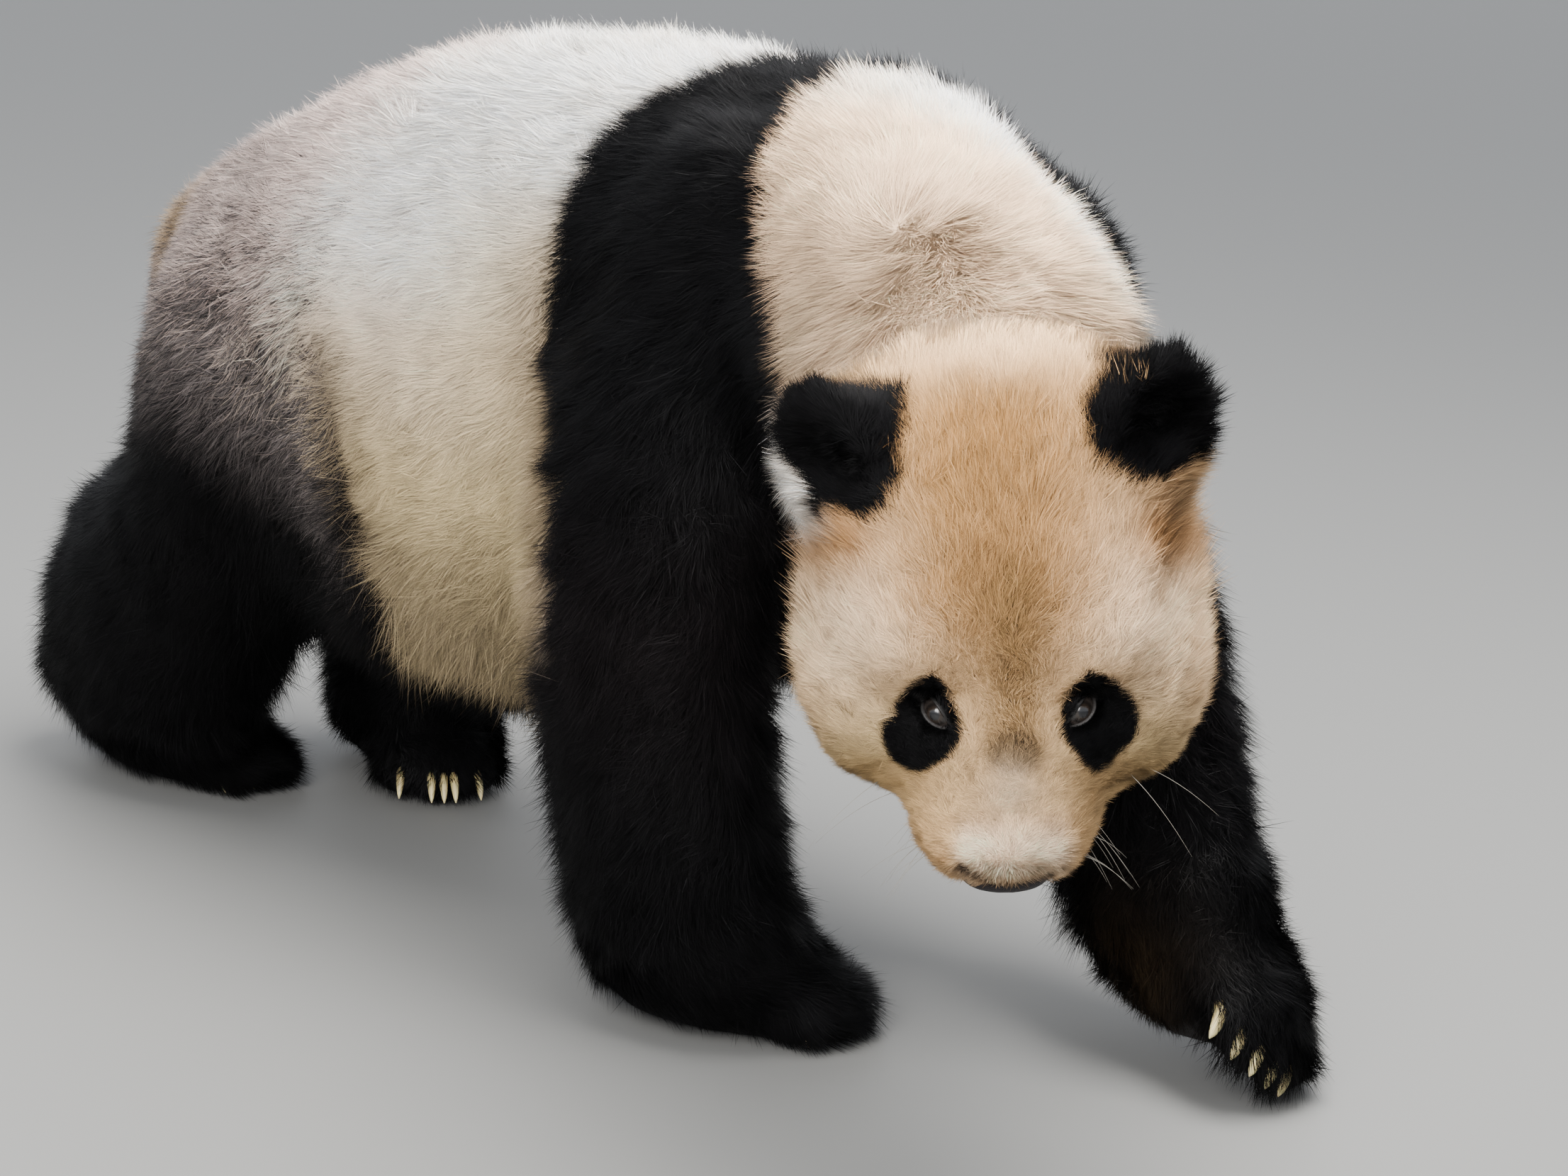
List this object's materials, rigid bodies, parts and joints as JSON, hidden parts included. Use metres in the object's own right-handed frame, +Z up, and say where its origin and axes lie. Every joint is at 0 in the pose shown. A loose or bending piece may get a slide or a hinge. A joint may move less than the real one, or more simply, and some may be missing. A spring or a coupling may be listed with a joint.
{
  "type": "giant panda model",
  "caption": "Life-size still model of a giant panda walking with its head hung low and turned to its right, standing on its four paws.",
  "frame": {"origin": "on the floor, under the middle of the model's bounding box", "axes": "+Z up, the body lies along Y with the hindquarters toward +Y and the head toward -Y, +X the animal's left"},
  "size_m": [0.6918, 1.465, 0.7787],
  "materials": {
    "fur_white": "dense coarse coat, cream white, dulled by dust",
    "fur_black": "dense coarse coat, black with a faint blue sheen",
    "fur_tan": "coat stained tan",
    "eye": "wet dark eye",
    "nose_skin": "moist pebbled nose skin",
    "horn": "pale translucent horn, slightly worn"
  },
  "bodies": {
    "root": {"claw_forepaw_left_1": "horn", "claw_forepaw_left_2": "horn", "claw_forepaw_left_3": "horn", "claw_forepaw_left_4": "horn", "claw_forepaw_left_5": "horn", "claw_forepaw_right_1": "horn", "claw_forepaw_right_2": "horn", "claw_forepaw_right_3": "horn", "claw_forepaw_right_4": "horn", "claw_forepaw_right_5": "horn", "claw_hindpaw_left_1": "horn", "claw_hindpaw_left_2": "horn", "claw_hindpaw_left_3": "horn", "claw_hindpaw_left_4": "horn", "claw_hindpaw_left_5": "horn", "claw_hindpaw_right_1": "horn", "claw_hindpaw_right_2": "horn", "claw_hindpaw_right_3": "horn", "claw_hindpaw_right_4": "horn", "claw_hindpaw_right_5": "horn", "ear_left": "fur_black", "ear_right": "fur_black", "eye_left": "eye", "eye_right": "eye", "foreleg_left": "fur_black", "foreleg_right": "fur_black", "forepaw_left": "fur_black", "forepaw_right": "fur_black", "head": "fur_white", "hindleg_left": "fur_black", "hindleg_right": "fur_black", "hindpaw_left": "fur_black", "hindpaw_right": "fur_black", "neck": "fur_white", "nose": "nose_skin", "tail": "fur_tan", "trunk": "fur_white"}
  },
  "joints": []
}
